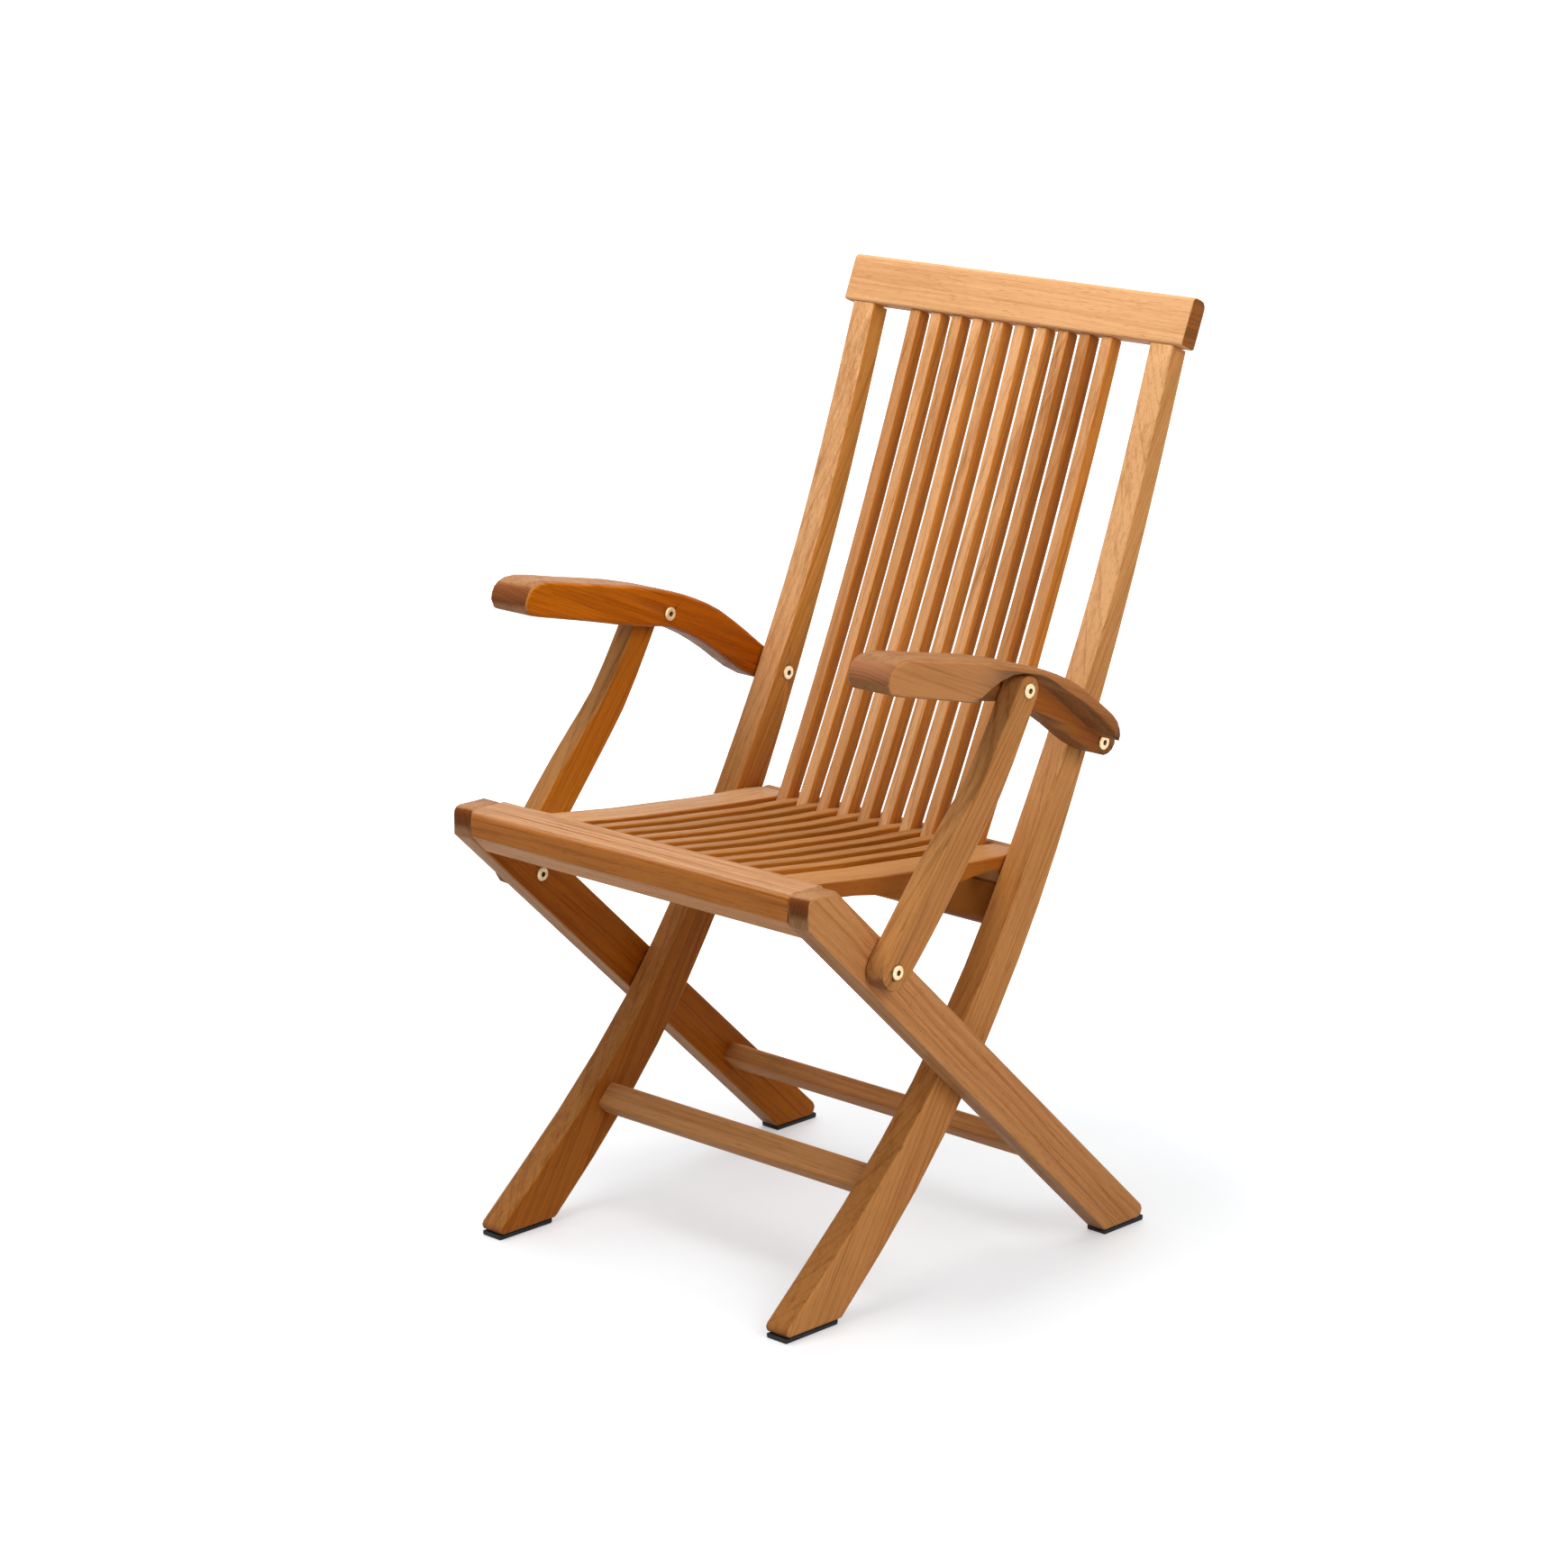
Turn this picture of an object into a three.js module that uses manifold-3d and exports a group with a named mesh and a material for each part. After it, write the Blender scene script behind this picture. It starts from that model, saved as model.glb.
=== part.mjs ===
// Folding teak armchair with a high slatted back, drawn at rest and standing open.
// X runs across the chair, -Y is the front, +Z is up, and all lengths are in millimetres.
// The back frame is two bent posts with a top rail, slats, a crossbar and a stretcher.
// The leg frame crosses it on hidden pins, the seat swings on pins in the leg tops, and
// each arm is held by a bolt in its post and by a curved support that stands on the leg.
import * as THREE from 'three';
import { mergeVertices } from 'three/addons/utils/BufferGeometryUtils.js';
import Module from 'manifold-3d';

const wasm = await Module();
wasm.setup();

// Driving dimensions across the chair
const bayWidth = 404.6;
const postThick = 32.2;
const pivotGap = 2.2;
const legThick = 29.3;
const supportGap = 0.8;
const supportThick = 26;
const armProud = 2.2;
const topRailOverhang = 13.1;
const backSlatMargin = 54.025;
const backSlatWidth = 15.3;
const seatSlatWidth = 14.6;
const sideRailWidth = 49.3;
const sideRailGap = 2.3;
const backSlatCount = 10;
const seatSlatCount = 9;

// Driving dimensions of the bent posts and back slats, seen from the side
const postRun = 640;
const postRise = 1000;
const backSlatDepth = 18.7;
const topRailDrop = 24.3;
const topRailProud = 2.3;
const topRailLean = THREE.MathUtils.degToRad(22.3);
const topRailTall = 54.9;
const topRailThick = 24;
const crossbarTall = 44;
const crossbarThick = 23;
const frontStretcherHeight = 126.5;
const frontStretcherTall = 31;
const frontStretcherThick = 22;

// Driving dimensions of the straight legs
const crossingHeight = 239.5;
const legAngle = THREE.MathUtils.degToRad(43.14);
const legDepth = 53.2;
const legNose = 4.2;
const rearStretcherHeight = 112.6;
const rearStretcherTall = 28;
const rearStretcherThick = 22.5;

// Driving dimensions of the seat
const frontRailDepth = 53;
const frontRailBevelRise = 21;
const frontRailTall = 50.5;
const railPinBack = 28;
const railPinDrop = 21.5;
const seatRearHeight = 441.5;
const seatRise = 43.4;
const frontRailCrown = 1.6;
const crossbarDrop = 27.5;
const sideRailBelly = 44.4;
const seatSlatDepth = 20;
const battenThick = 13;
const battenTall = 21;

// Driving dimensions of the arms and their curved supports
const armPivotHeight = 566.3;
const armPivotSet = 1.6;
const armLength = 368.7;
const armRise = 152.1;
const armToSupportRun = 154.5;
const armToSupportRise = 87.9;
const supportFootDrop = 93.2;
const supportBow = 12.7;
const supportHalfWidth = 21;

// Hardware and feet
const boltHeadRadius = 8.25;
const boltHeadThick = 1.8;
const barrelRadius = 4.75;
const screwRadius = 3;
const socketRadius = 2.9;
const socketDepth = 3.2;
const pinRadius = 5;
const pinDepth = 16;
const padThick = 5.5;
const padInset = 2.7;
const padToeInset = 10.5;
const padHeelInset = 4;
const padRearInset = 10.5;

// Clearances, roundings and the overrun of the cuts
const jointGap = 0.3;
const turningGap = 0.35;
const openPivotPlay = 4.8;
const battenGap = 9.5;
const arris = 3;
const armArris = 4;
const smallArris = 2;
const softCorner = 9;
const firmCorner = 6;
const edgeRadius = 3.5;
const overrun = 20;
const tenonLength = 14;
const slatTenonLength = 11;
const slatTenonWidth = 8;
const slatTenonDepth = 9;
const postTenonWidth = 16;
const stretcherTenonInset = 4.5;

// Facets of the round parts and steps of the rounded edges
const arrisSteps = 2;
const cornerSteps = 3;
const roundFacets = 16;
const curveSteps = 10;
const postSteps = 18;

// Places across the chair that follow from the widths
const postInner = bayWidth / 2;
const postOuter = postInner + postThick;
const legInner = postOuter + pivotGap;
const legOuter = legInner + legThick;
const supportInner = legOuter + supportGap;
const supportOuter = supportInner + supportThick;
const armOuter = supportOuter + armProud;
const sideRailOuter = postInner - sideRailGap;
const sideRailInner = sideRailOuter - sideRailWidth;
const slatRun = bayWidth - 2 * backSlatMargin - backSlatWidth;
const slatPitch = slatRun / (backSlatCount - 1);

// Heights that follow from the seat and from the posts
const topRailHeight = postRise - topRailDrop;
const crossbarHeight = seatRearHeight - crossbarDrop;
const legTop = seatRearHeight + seatRise + frontRailCrown;
const supportFootHeight = legTop - supportFootDrop;

// Each row is the height of a station, then the front and rear face of the post there
const postShares = [
  [0, -0.0877, 0.0587], [0.03, -0.0348, 0.1113], [0.06, 0.0209, 0.1606], [0.1, 0.0931, 0.2239],
  [0.14, 0.1598, 0.2812], [0.2, 0.2523, 0.3594], [0.26, 0.3298, 0.4241], [0.34, 0.4195, 0.5042],
  [0.42, 0.4967, 0.5741], [0.5, 0.5656, 0.6336], [0.6, 0.6448, 0.7017], [0.7, 0.717, 0.7658],
  [0.8, 0.7786, 0.8239], [0.9, 0.8341, 0.8773], [1, 0.8856, 0.9287],
];
const postFront = new THREE.SplineCurve(
  postShares.map(([up, front]) => new THREE.Vector2(front * postRun, up * postRise)));
const postRear = new THREE.SplineCurve(
  postShares.map(([up, , rear]) => new THREE.Vector2(rear * postRun, up * postRise)));

// Each row is the height of a station and the front face of the back slats there
const slatShares = [
  [0.27, 0.3852], [0.33, 0.4395], [0.39, 0.4908], [0.44, 0.5314], [0.5, 0.577], [0.56, 0.6204],
  [0.65, 0.682], [0.75, 0.7461], [0.85, 0.8064], [0.93, 0.8523], [1, 0.8905],
];
const slatFront = new THREE.SplineCurve(
  slatShares.map(([up, front]) => new THREE.Vector2(front * postRun, up * postRise)));

// The place and the direction of a rising side-view curve at one height
function atHeight(curve, height) {
  let low = 0;
  let high = 1;
  for (let step = 0; step < 40; step += 1) {
    const middle = (low + high) / 2;
    if (curve.getPoint(middle).y < height) low = middle;
    else high = middle;
  }
  return { place: curve.getPoint(low), along: curve.getTangent(low) };
}

function postMiddle(height) {
  const front = atHeight(postFront, height);
  const rear = atHeight(postRear, height);
  const place = front.place.clone().lerp(rear.place, 0.5);
  const along = front.along.clone().add(rear.along).normalize();
  return { place, along };
}

// Pivots in side view
const crossing = postMiddle(crossingHeight).place;
const legAlong = new THREE.Vector2(-Math.cos(legAngle), Math.sin(legAngle));
const legAcross = new THREE.Vector2(Math.sin(legAngle), Math.cos(legAngle));

function legMiddle(height) {
  const run = (height - crossing.y) / legAlong.y;
  return crossing.clone().addScaledVector(legAlong, run);
}

const legFront = legMiddle(legTop).x - legNose;
const armPivot = postMiddle(armPivotHeight).place.add(new THREE.Vector2(armPivotSet, 0));
const supportTop = armPivot.clone().add(new THREE.Vector2(-armToSupportRun, armToSupportRise));
const supportFoot = legMiddle(supportFootHeight);
const railPin = new THREE.Vector2(legFront + railPinBack, legTop - railPinDrop);

// Turns a side-view drawing so that its thickness runs across the chair
const sideToChair = new THREE.Matrix4().makeBasis(
  new THREE.Vector3(0, 1, 0), new THREE.Vector3(0, 0, 1), new THREE.Vector3(1, 0, 0));

function solid(geometry) {
  geometry.deleteAttribute('normal');
  geometry.deleteAttribute('uv');
  const merged = mergeVertices(geometry);
  const vertProperties = Float32Array.from(merged.attributes.position.array);
  const triVerts = Uint32Array.from(merged.index.array);
  return new wasm.Manifold(new wasm.Mesh({ numProp: 3, vertProperties, triVerts }));
}

function across(side, inner, outer) {
  return side > 0 ? [inner, outer] : [-outer, -inner];
}

// A flat piece cut to a side-view outline, with every arris of its two faces rounded
function plank(outline, [start, end], rounding) {
  const geometry = new THREE.ExtrudeGeometry(new THREE.Shape(outline), {
    steps: 1,
    depth: end - start - 2 * rounding,
    bevelEnabled: rounding > 0,
    bevelThickness: rounding,
    bevelSize: rounding,
    bevelOffset: -rounding,
    bevelSegments: arrisSteps,
  });
  geometry.translate(0, 0, start + rounding);
  geometry.applyMatrix4(sideToChair);
  return solid(geometry);
}

// An outline whose corners are rounded: each row holds a point and the radius there
function eased(rows) {
  const outline = [];
  rows.forEach(([point, radius], index) => {
    if (radius === 0) {
      outline.push(point);
      return;
    }
    const before = rows[(index + rows.length - 1) % rows.length][0].clone().sub(point).normalize();
    const after = rows[(index + 1) % rows.length][0].clone().sub(point).normalize();
    const half = before.angleTo(after) / 2;
    const middle = before.clone().add(after).setLength(radius / Math.sin(half)).add(point);
    const start = point.clone().addScaledVector(before, radius / Math.tan(half)).sub(middle);
    const turn = (Math.PI - 2 * half) * Math.sign(start.cross(point.clone().sub(middle)));
    for (let step = 0; step <= cornerSteps; step += 1) {
      const spoke = start.clone().rotateAround(new THREE.Vector2(), turn * step / cornerSteps);
      outline.push(middle.clone().add(spoke));
    }
  });
  return outline;
}

// A bar's section: a rectangle about a middle, set along one direction
function bar(middle, along, tall, thick) {
  const over = new THREE.Vector2(along.y, -along.x);
  return [[-1, -1], [1, -1], [1, 1], [-1, 1]].map(([up, back]) => middle.clone()
    .addScaledVector(along, up * tall / 2)
    .addScaledVector(over, back * thick / 2));
}

function easedBar(middle, along, tall, thick, radius) {
  return eased(bar(middle, along, tall, thick).map((point) => [point, radius]));
}

// A straight round pin or hole across the chair
function round(place, radius, [start, end]) {
  const geometry = new THREE.CylinderGeometry(radius, radius, end - start, roundFacets);
  geometry.rotateZ(Math.PI / 2);
  geometry.translate((start + end) / 2, place.x, place.y);
  return solid(geometry);
}

// A round part turned about a pivot, its profile given as radius and distance outward
function turned(place, side, profile) {
  const points = profile.map(([radius, out]) => new THREE.Vector2(radius, out));
  const geometry = new THREE.LatheGeometry(points, roundFacets);
  geometry.rotateZ(-side * Math.PI / 2);
  geometry.translate(0, place.x, place.y);
  return solid(geometry);
}

const teak = { color: 0xbd8350, roughness: 0.62, metalness: 0 };
const brass = { color: 0xa8894f, roughness: 0.38, metalness: 0.9 };
const steel = { color: 0x9a9a98, roughness: 0.4, metalness: 0.9 };
const rubber = { color: 0x17171a, roughness: 0.8, metalness: 0 };
const chair = new THREE.Group();

function addPiece(name, piece, look) {
  const { vertProperties, triVerts } = piece.getMesh();
  const geometry = new THREE.BufferGeometry();
  geometry.setAttribute('position', new THREE.BufferAttribute(vertProperties, 3));
  geometry.setIndex(new THREE.BufferAttribute(triVerts, 1));
  geometry.computeVertexNormals();
  const mesh = new THREE.Mesh(geometry, new THREE.MeshStandardMaterial(look));
  mesh.name = name;
  chair.add(mesh);
}

const sides = [['left', 1], ['right', -1]];
const woodBottom = padThick + jointGap;

// The top rail's underside carries the posts and the slats, and leans with the back
const railUp = new THREE.Vector2(Math.sin(topRailLean), Math.cos(topRailLean));
const railBack = new THREE.Vector2(railUp.y, -railUp.x);
const railCorner = atHeight(postFront, topRailHeight).place.sub(new THREE.Vector2(topRailProud, 0));

// The crossbar lies flush with the front of the back slats
const crossbarLine = atHeight(slatFront, crossbarHeight);
const crossbarUp = crossbarLine.along;
const crossbarBack = new THREE.Vector2(crossbarUp.y, -crossbarUp.x);
const crossbarCorner = crossbarLine.place;
const crossbarMiddle = crossbarCorner.clone()
  .addScaledVector(crossbarUp, -crossbarTall / 2)
  .addScaledVector(crossbarBack, crossbarThick / 2);

function offsetBlock(corner, back, up, fromUp, toUp) {
  const reach = postRun;
  const start = corner.clone().addScaledVector(back, -reach / 2);
  const points = [[0, fromUp], [reach, fromUp], [reach, toUp], [0, toUp]];
  return points.map(([run, rise]) => start.clone()
    .addScaledVector(back, run).addScaledVector(up, rise));
}

// Everything above the underside of the top rail, used to cut posts and slats to length
function aboveTopRail(range) {
  return plank(offsetBlock(railCorner, railBack, railUp, -jointGap, postRise), range, 0);
}

function topTenon(range, depth, length) {
  const middle = railCorner.clone()
    .addScaledVector(railBack, topRailThick / 2)
    .addScaledVector(railUp, length / 2 - overrun / 2);
  return plank(bar(middle, railUp, length + overrun, depth), range, 0);
}

function topMortise(range, depth, length) {
  const roomy = [range[0] - jointGap, range[1] + jointGap];
  return topTenon(roomy, depth + 2 * jointGap, length + jointGap);
}

function bottomTenon(range, depth, length) {
  const middle = crossbarCorner.clone()
    .addScaledVector(crossbarBack, backSlatDepth / 2)
    .addScaledVector(crossbarUp, -length / 2 + overrun / 2);
  return plank(bar(middle, crossbarUp, length + overrun, depth), range, 0);
}

function bottomMortise(range, depth, length) {
  const roomy = [range[0] - jointGap, range[1] + jointGap];
  return bottomTenon(roomy, depth + 2 * jointGap, length + jointGap);
}

function centred(middle, width) {
  return [middle - width / 2, middle + width / 2];
}

// The two bent posts, from the front feet up to the top rail
function postOutline() {
  const front = [];
  const rear = [];
  const base = woodBottom;
  const top = postRise;
  for (let step = 1; step <= postSteps; step += 1) {
    const height = base + (top - base) * step / postSteps;
    front.push([atHeight(postFront, height).place, 0]);
    rear.unshift([atHeight(postRear, height).place, 0]);
  }
  const toe = [atHeight(postFront, base).place, firmCorner];
  const heel = [atHeight(postRear, base).place, firmCorner];
  return eased([toe, ...front, ...rear, heel]);
}

function stretcherTenon(section, side, inner, fit) {
  const range = across(side, inner - overrun, inner + tenonLength + fit);
  const [middle, along, tall, thick] = section;
  const inset = 2 * stretcherTenonInset - 2 * fit;
  return plank(bar(middle, along, tall - inset, thick - inset), range, 0);
}

const frontStretcherLine = postMiddle(frontStretcherHeight);
const frontStretcher = [frontStretcherLine.place, frontStretcherLine.along,
  frontStretcherTall, frontStretcherThick];
const crossbar = [crossbarMiddle, crossbarUp, crossbarTall, crossbarThick];
const rearStretcher = [legMiddle(rearStretcherHeight), legAlong,
  rearStretcherTall, rearStretcherThick];

for (const [word, side] of sides) {
  const width = across(side, postInner, postOuter);
  const tenon = centred(side * (postInner + postOuter) / 2, postTenonWidth);
  const post = plank(postOutline(), width, arris)
    .subtract(aboveTopRail([width[0] - overrun, width[1] + overrun]))
    .add(topTenon(tenon, slatTenonDepth, tenonLength))
    .subtract(stretcherTenon(frontStretcher, side, postInner, jointGap))
    .subtract(stretcherTenon(crossbar, side, postInner, jointGap))
    .subtract(round(armPivot, barrelRadius + turningGap, [width[0] - overrun, width[1] + overrun]))
    .subtract(round(crossing, pinRadius + turningGap,
      across(side, postOuter - pinDepth - jointGap, postOuter + overrun)));
  addPiece(`${word}_post`, post, teak);
}

// The top rail, across the ends of the posts and slats
const backSlatPlaces = [];
for (let index = 0; index < backSlatCount; index += 1) {
  backSlatPlaces.push((index - (backSlatCount - 1) / 2) * slatPitch);
}

function topRail() {
  const half = postOuter + topRailOverhang;
  const middle = railCorner.clone()
    .addScaledVector(railUp, topRailTall / 2)
    .addScaledVector(railBack, topRailThick / 2);
  const [frontBottom, frontTop, rearTop, rearBottom] = bar(middle, railUp, topRailTall, topRailThick);
  const outline = eased([[frontBottom, edgeRadius], [frontTop, firmCorner],
    [rearTop, softCorner], [rearBottom, edgeRadius]]);
  let rail = plank(outline, [-half, half], smallArris);
  for (const place of backSlatPlaces) {
    rail = rail.subtract(topMortise(centred(place, slatTenonWidth), slatTenonDepth, slatTenonLength));
  }
  for (const [, side] of sides) {
    const range = centred(side * (postInner + postOuter) / 2, postTenonWidth);
    rail = rail.subtract(topMortise(range, slatTenonDepth, tenonLength));
  }
  return rail;
}
addPiece('top_rail', topRail(), teak);

// The ten slats of the back, bent like the posts and let into the rail and the crossbar
function backSlat(place) {
  const width = centred(place, backSlatWidth);
  const tenon = centred(place, slatTenonWidth);
  const front = [];
  const rear = [];
  const base = crossbarHeight - backSlatDepth;
  for (let step = 0; step <= curveSteps; step += 1) {
    const line = atHeight(slatFront, base + (postRise - base) * step / curveSteps);
    const over = new THREE.Vector2(line.along.y, -line.along.x);
    front.push(line.place);
    rear.unshift(line.place.clone().addScaledVector(over, backSlatDepth));
  }
  const cutWidth = [width[0] - overrun, width[1] + overrun];
  const below = offsetBlock(crossbarCorner, crossbarBack, crossbarUp, -postRise, jointGap);
  return plank([...front, ...rear], width, smallArris)
    .subtract(aboveTopRail(cutWidth))
    .subtract(plank(below, cutWidth, 0))
    .add(topTenon(tenon, slatTenonDepth, slatTenonLength))
    .add(bottomTenon(tenon, slatTenonDepth, slatTenonLength));
}
backSlatPlaces.forEach((place, index) => {
  addPiece(`back_slat_${index + 1}`, backSlat(place), teak);
});

// The crossbar under the slats, let into both posts
function crossbarPiece() {
  const [frontBottom, frontTop, rearTop, rearBottom] = bar(...crossbar);
  const outline = eased([[frontBottom, softCorner], [frontTop, smallArris],
    [rearTop, smallArris], [rearBottom, edgeRadius]]);
  let piece = plank(outline, [-postInner + jointGap, postInner - jointGap], 0);
  for (const [, side] of sides) piece = piece.add(stretcherTenon(crossbar, side, postInner, 0));
  for (const place of backSlatPlaces) {
    piece = piece.subtract(
      bottomMortise(centred(place, slatTenonWidth), slatTenonDepth, slatTenonLength));
  }
  return piece;
}
addPiece('back_crossbar', crossbarPiece(), teak);

function stretcherPiece(section, inner, radius) {
  let piece = plank(easedBar(...section, radius), [-inner + jointGap, inner - jointGap], 0);
  for (const [, side] of sides) piece = piece.add(stretcherTenon(section, side, inner, 0));
  return piece;
}
addPiece('front_stretcher', stretcherPiece(frontStretcher, postInner, edgeRadius), teak);

// The straight legs, from the rear feet up to the front corners of the seat
function legOutline() {
  const upper = crossing.clone().addScaledVector(legAcross, legDepth / 2);
  const lower = crossing.clone().addScaledVector(legAcross, -legDepth / 2);
  const slope = Math.tan(legAngle);
  const edge = (start, height) => start.x - (height - start.y) / slope;
  const rise = (start, depth) => start.y - (depth - start.x) * slope;
  return eased([
    [new THREE.Vector2(legFront, rise(lower, legFront)), 0],
    [new THREE.Vector2(legFront, legTop), softCorner],
    [new THREE.Vector2(edge(upper, legTop), legTop), 0],
    [new THREE.Vector2(edge(upper, woodBottom), woodBottom), softCorner],
    [new THREE.Vector2(edge(lower, woodBottom), woodBottom), 0],
  ]);
}

for (const [word, side] of sides) {
  const leg = plank(legOutline(), across(side, legInner, legOuter), arris)
    .subtract(round(supportFoot, barrelRadius + jointGap,
      across(side, legInner - overrun, legOuter - pivotGap + jointGap)))
    .subtract(round(supportFoot, screwRadius + jointGap,
      across(side, legInner - overrun, legOuter + overrun)))
    .subtract(round(crossing, pinRadius + jointGap,
      across(side, legInner - overrun, legInner + pinDepth + jointGap)))
    .subtract(round(railPin, pinRadius + turningGap,
      across(side, legInner - overrun, legInner + pinDepth + jointGap)))
    .subtract(stretcherTenon(rearStretcher, side, legInner, jointGap));
  addPiece(`${word}_leg`, leg, teak);
  addPiece(`${word}_crossing_pin`, round(crossing, pinRadius,
    across(side, postOuter - pinDepth, legInner + pinDepth)), steel);
}
addPiece('rear_stretcher', stretcherPiece(rearStretcher, legInner, edgeRadius), teak);

// The seat's front rail, which turns on a pin in the top of each leg
const seatFront = legFront + frontRailDepth;
const frontRailBottom = legTop - frontRailTall;

function frontRail() {
  const bevelTop = frontRailBottom + frontRailBevelRise;
  const bevelBack = legFront + frontRailBevelRise;
  const outline = eased([
    [new THREE.Vector2(legFront, bevelTop), smallArris],
    [new THREE.Vector2(legFront, legTop), softCorner],
    [new THREE.Vector2(seatFront, legTop), firmCorner],
    [new THREE.Vector2(seatFront, frontRailBottom), firmCorner],
    [new THREE.Vector2(bevelBack, frontRailBottom), smallArris],
  ]);
  return plank(outline, [-legInner + jointGap, legInner - jointGap], 0);
}

// The top line of the seat falls from the front rail to the batten behind the slats
const seatShares = [
  [0, 1], [0.036, 0.905], [0.08, 0.75], [0.193, 0.64], [0.274, 0.552], [0.355, 0.471],
  [0.467, 0.387], [0.584, 0.29], [0.729, 0.176], [0.899, 0.097], [1, 0],
];
const bellyShares = [
  [1, -0.45], [0.93, -0.36], [0.857, -0.23], [0.8, -0.255], [0.72, -0.275], [0.64, -0.35],
  [0.58, -0.42], [0.52, -0.465], [0.46, -0.4], [0.42, -0.25], [0.36, -0.06], [0.3, 0.075],
  [0.193, 0.196], [0.09, 0.31], [0, 0.42],
];
const slatBehind = atHeight(slatFront, seatRearHeight);
const seatRear = slatBehind.place.x + backSlatDepth / slatBehind.along.y + battenGap;
const seatRun = seatRear - seatFront;
const seatTopCurve = new THREE.SplineCurve(seatShares.map(([run, rise]) => new THREE.Vector2(
  seatFront + run * seatRun, seatRearHeight + rise * seatRise)));
const bellyCurve = new THREE.SplineCurve(bellyShares.map(([run, rise]) => new THREE.Vector2(
  seatFront + run * seatRun, seatRearHeight + rise * sideRailBelly)));

function seatLine(curve, start, end) {
  const points = curve.getSpacedPoints(curveSteps + curveSteps / 5);
  points[0].x = start;
  points[points.length - 1].x = end;
  return points;
}

// The heel under each side rail, which rests on the crossbar
function heelBlock(range) {
  const start = crossbarCorner.clone()
    .addScaledVector(crossbarUp, jointGap)
    .addScaledVector(crossbarBack, smallArris);
  const end = start.clone().addScaledVector(crossbarBack, crossbarThick - 2 * smallArris);
  const top = seatRearHeight - seatSlatDepth / 2;
  const outline = [start, end, new THREE.Vector2(end.x + smallArris, top),
    new THREE.Vector2(start.x - smallArris, top)];
  return plank(outline, range, 0);
}

function seatTenon(range, front, fit) {
  const room = [range[0] - fit, range[1] + fit];
  const shoulder = front ? seatFront : seatRear;
  const length = front ? tenonLength + fit : battenThick / 2 + fit;
  const line = atRun(seatTopCurve, front ? 1 : 0);
  const middle = new THREE.Vector2(
    front ? shoulder - length / 2 + overrun / 2 : shoulder + length / 2 - overrun / 2,
    line - seatSlatDepth / 2);
  return plank(bar(middle, new THREE.Vector2(0, 1), slatTenonDepth + 2 * fit, length + overrun),
    room, 0);
}

function atRun(curve, front) {
  return front ? curve.getPoint(0).y - firmCorner : curve.getPoint(1).y;
}

function seatSlat(place) {
  const top = seatLine(seatTopCurve, seatFront + jointGap, seatRear - jointGap);
  const under = top.map((point) => new THREE.Vector2(point.x, point.y - seatSlatDepth)).reverse();
  const tenon = centred(place, slatTenonWidth);
  return plank([...top, ...under], centred(place, seatSlatWidth), smallArris)
    .add(seatTenon(tenon, true, 0))
    .add(seatTenon(tenon, false, 0));
}

const seatSlatPlaces = [];
for (let index = 0; index < seatSlatCount; index += 1) {
  seatSlatPlaces.push((index - (seatSlatCount - 1) / 2) * slatPitch);
}
const sideRailPlace = (sideRailInner + sideRailOuter) / 2;
const sideTenonWidth = sideRailWidth / 2;

function sideRail(side) {
  const range = across(side, sideRailInner, sideRailOuter);
  const top = seatLine(seatTopCurve, seatFront + jointGap, seatRear - jointGap);
  const under = seatLine(bellyCurve, seatRear - jointGap, seatFront + jointGap);
  const tenon = centred(side * sideRailPlace, sideTenonWidth);
  const heelRange = [range[0] + arris, range[1] - arris];
  return plank([...top, ...under], range, arris)
    .add(heelBlock(heelRange))
    .add(seatTenon(tenon, true, 0))
    .add(seatTenon(tenon, false, 0));
}

let frontRailPiece = frontRail();
let battenPiece = plank(
  eased(bar(new THREE.Vector2(seatRear + battenThick / 2, seatRearHeight - battenTall / 2),
    new THREE.Vector2(0, 1), battenTall, battenThick).map((point) => [point, edgeRadius])),
  [-sideRailOuter, sideRailOuter], smallArris);
const seatJoints = seatSlatPlaces.map((place) => centred(place, slatTenonWidth));
for (const [, side] of sides) {
  seatJoints.push(centred(side * sideRailPlace, sideTenonWidth));
}
for (const range of seatJoints) {
  frontRailPiece = frontRailPiece.subtract(seatTenon(range, true, jointGap));
  battenPiece = battenPiece.subtract(seatTenon(range, false, jointGap));
}
for (const [, side] of sides) {
  frontRailPiece = frontRailPiece.subtract(round(railPin, pinRadius + jointGap,
    across(side, legInner - pinDepth - jointGap, legInner + overrun)));
}
addPiece('seat_front_rail', frontRailPiece, teak);
addPiece('seat_rear_batten', battenPiece, teak);
seatSlatPlaces.forEach((place, index) => {
  addPiece(`seat_slat_${index + 1}`, seatSlat(place), teak);
});
for (const [word, side] of sides) {
  addPiece(`seat_${word}_rail`, sideRail(side), teak);
  addPiece(`${word}_seat_pin`, round(railPin, pinRadius,
    across(side, legInner - pinDepth, legInner + pinDepth)), steel);
}

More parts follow.
